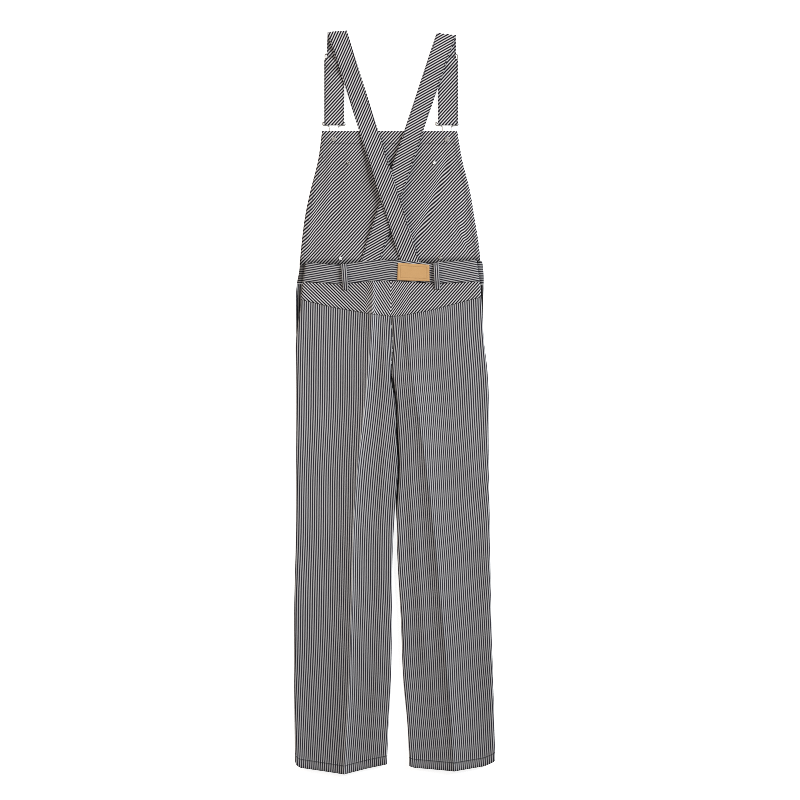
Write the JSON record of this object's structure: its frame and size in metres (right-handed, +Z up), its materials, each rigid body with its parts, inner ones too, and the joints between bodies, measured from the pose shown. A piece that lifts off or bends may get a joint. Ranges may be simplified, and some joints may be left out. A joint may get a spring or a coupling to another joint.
{
  "type": "bib overalls",
  "caption": "Striped cotton bib overalls laid face down and flat, with crossed back straps folded at the shoulder, wire buckles, yoke, belt loops and a bare leather patch.",
  "frame": {"origin": "centre of the garment's bounding box, on the plane that it rests on", "axes": "+Y from the hems to the shoulder folds of the straps, +Z up out of the resting plane towards the back panels, the wearer's left at -X"},
  "size_m": [0.4024, 1.487, 0.0118],
  "materials": {
    "striped_twill": "matt cotton twill with narrow dark and pale stripes",
    "leather": "tan, lightly waxed",
    "metal": "dull, slightly aged"
  },
  "bodies": {
    "root": {"back_leg_left": "striped_twill", "back_leg_right": "striped_twill", "front_leg_left": "striped_twill", "front_leg_right": "striped_twill", "back_yoke_left": "striped_twill", "back_yoke_right": "striped_twill", "waistband_back": "striped_twill", "waistband_front": "striped_twill", "belt_loop_left": "striped_twill", "belt_loop_right": "striped_twill", "bib": "striped_twill", "bib_pocket": "striped_twill", "strap_left": "striped_twill", "strap_right": "striped_twill", "leather_patch": "leather", "bib_button_left": "metal", "bib_button_right": "metal", "buckle_left": "metal", "buckle_right": "metal", "slider_left": "metal", "slider_right": "metal", "rivet_top_left": "metal", "rivet_top_right": "metal", "rivet_bottom_left": "metal", "rivet_bottom_right": "metal"}
  },
  "joints": []
}
